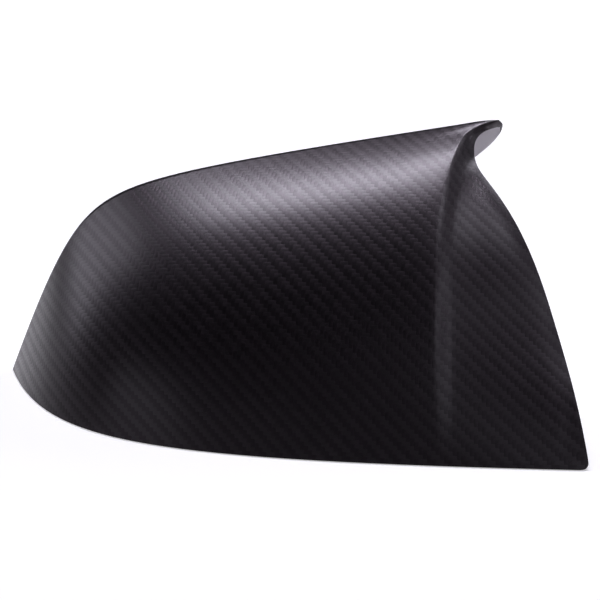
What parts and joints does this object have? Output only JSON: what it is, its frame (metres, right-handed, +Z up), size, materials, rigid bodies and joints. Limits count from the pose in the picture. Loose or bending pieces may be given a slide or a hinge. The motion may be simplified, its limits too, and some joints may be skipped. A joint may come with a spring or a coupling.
{
  "type": "wing mirror cover",
  "caption": "Moulded carbon-fibre wing mirror cover: a thin curved shell that clads the front and top of a mirror housing, with a recessed inboard panel and a rolled rear lip.",
  "frame": {"origin": "middle of the box of the cover, in the level plane of its foot edge", "axes": "+X inboard along the cover, +Y back towards the mirror glass, +Z up, as it is worn on the housing"},
  "size_m": [0.2456, 0.1222, 0.1082],
  "materials": {
    "carbon_laminate": "two by two twill carbon cloth under a satin clear coat"
  },
  "bodies": {
    "root": {"mirror_cover": "carbon_laminate"}
  },
  "joints": []
}
